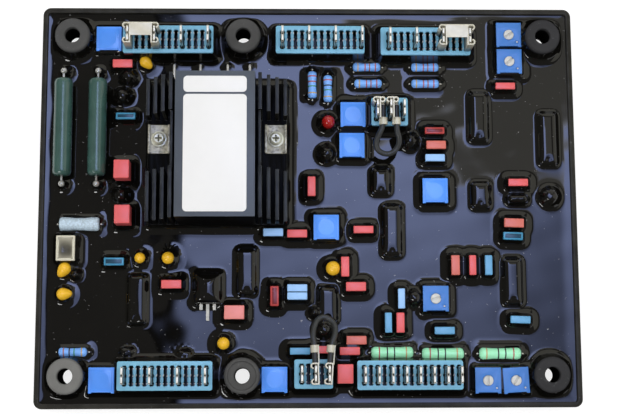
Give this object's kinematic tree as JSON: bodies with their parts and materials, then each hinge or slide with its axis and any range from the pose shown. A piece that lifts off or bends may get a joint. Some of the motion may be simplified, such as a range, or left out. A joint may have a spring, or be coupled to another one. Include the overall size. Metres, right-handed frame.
{
  "type": "automatic voltage regulator",
  "caption": "Open tray of black potting resin holding a generator voltage regulator: finned heat sink, slotted blade terminal blocks with links, trimmers, resistors and capacitors.",
  "frame": {"origin": "middle of the underside of the tray", "axes": "+X right along the tray, +Y up across it towards the row with three terminal blocks, +Z out of the open side"},
  "size_m": [0.204, 0.153, 0.0363],
  "materials": {
    "tray_plastic": "satin",
    "board": "matt",
    "resin": "glossy",
    "bush": "satin",
    "sink_metal": "satin anodised",
    "module_plastic": "matt",
    "tinned": "bright",
    "clamp_nickel": "bright",
    "label": "satin",
    "block_plastic": "satin",
    "blade": "bright tin",
    "wire": "satin",
    "trimmer_plastic": "satin",
    "rotor": "satin",
    "seal": "glossy film",
    "film_red": "satin",
    "film_blue": "satin",
    "bead": "glossy",
    "lamp": "clear",
    "resistor_blue": "satin lacquer with colour bands",
    "resistor_green": "satin lacquer with colour bands",
    "resistor_grey": "satin lacquer",
    "resistor_enamel": "glossy enamel",
    "ceramic": "matt",
    "ceramic_fill": "matt",
    "coated": "glossy"
  },
  "bodies": {
    "regulator": {"tray": "tray_plastic", "circuit_board": "board", "underfill": "resin", "potting": "resin", "mounting_bush_1": "bush", "mounting_bush_2": "bush", "mounting_bush_3": "bush", "mounting_bush_4": "bush", "mounting_bush_5": "bush", "mounting_bush_6": "bush", "power_module": "module_plastic", "module_leads": "tinned", "heat_sink": "sink_metal", "clamp_plates": "clamp_nickel", "clamp_washers": "clamp_nickel", "clamp_screws": "clamp_nickel", "label_small": "label", "label_large": "label", "terminal_block_1": "block_plastic", "terminal_block_2": "block_plastic", "terminal_block_3": "block_plastic", "terminal_block_4": "block_plastic", "terminal_block_5": "block_plastic", "terminal_block_6": "block_plastic", "terminal_block_7": "block_plastic", "terminal_blades": "blade", "link_1": "blade", "link_2": "blade", "flag_receptacles_1": "blade", "flag_receptacles_2": "blade", "jumper_wire_1": "wire", "jumper_wire_2": "wire", "trimmer_1": "trimmer_plastic", "trimmer_2": "trimmer_plastic", "trimmer_3": "trimmer_plastic", "trimmer_4": "trimmer_plastic", "trimmer_5": "trimmer_plastic", "sealed_trimmers": "trimmer_plastic", "trimmer_seals": "seal", "film_capacitors_red": "film_red", "film_capacitors_blue": "film_blue", "tantalum_capacitors": "bead", "indicator_lamp": "lamp", "resistors_blue": "resistor_blue", "resistors_green": "resistor_green", "dog_bone_resistor": "resistor_grey", "power_resistors": "resistor_enamel", "power_resistor_leads": "tinned", "ceramic_box": "ceramic", "ceramic_fill": "ceramic_fill", "power_transistor": "coated", "integrated_circuits": "coated", "coated_parts": "coated", "diodes": "coated"},
    "rotor_1": {"trimmer_rotor_1": "rotor"},
    "rotor_2": {"trimmer_rotor_2": "rotor"},
    "rotor_3": {"trimmer_rotor_3": "rotor"},
    "rotor_4": {"trimmer_rotor_4": "rotor"},
    "rotor_5": {"trimmer_rotor_5": "rotor"}
  },
  "joints": [
    {"name": "trimmer_1_turn", "type": "hinge", "parent": "regulator", "child": "rotor_1", "pos_m": [0.0775, 0.066, 0.0107], "axis": [0, 0, 1], "range_deg": [-140, 140]},
    {"name": "trimmer_2_turn", "type": "hinge", "parent": "regulator", "child": "rotor_2", "pos_m": [0.0775, 0.0555, 0.0107], "axis": [0, 0, 1], "range_deg": [-140, 140]},
    {"name": "trimmer_3_turn", "type": "hinge", "parent": "regulator", "child": "rotor_3", "pos_m": [0.0475, -0.036, 0.0107], "axis": [0, 0, 1], "range_deg": [-140, 140]},
    {"name": "trimmer_4_turn", "type": "hinge", "parent": "regulator", "child": "rotor_4", "pos_m": [0.0665, -0.0665, 0.0107], "axis": [0, 0, 1], "range_deg": [-140, 140]},
    {"name": "trimmer_5_turn", "type": "hinge", "parent": "regulator", "child": "rotor_5", "pos_m": [0.077, -0.0665, 0.0107], "axis": [0, 0, 1], "range_deg": [-140, 140]}
  ]
}
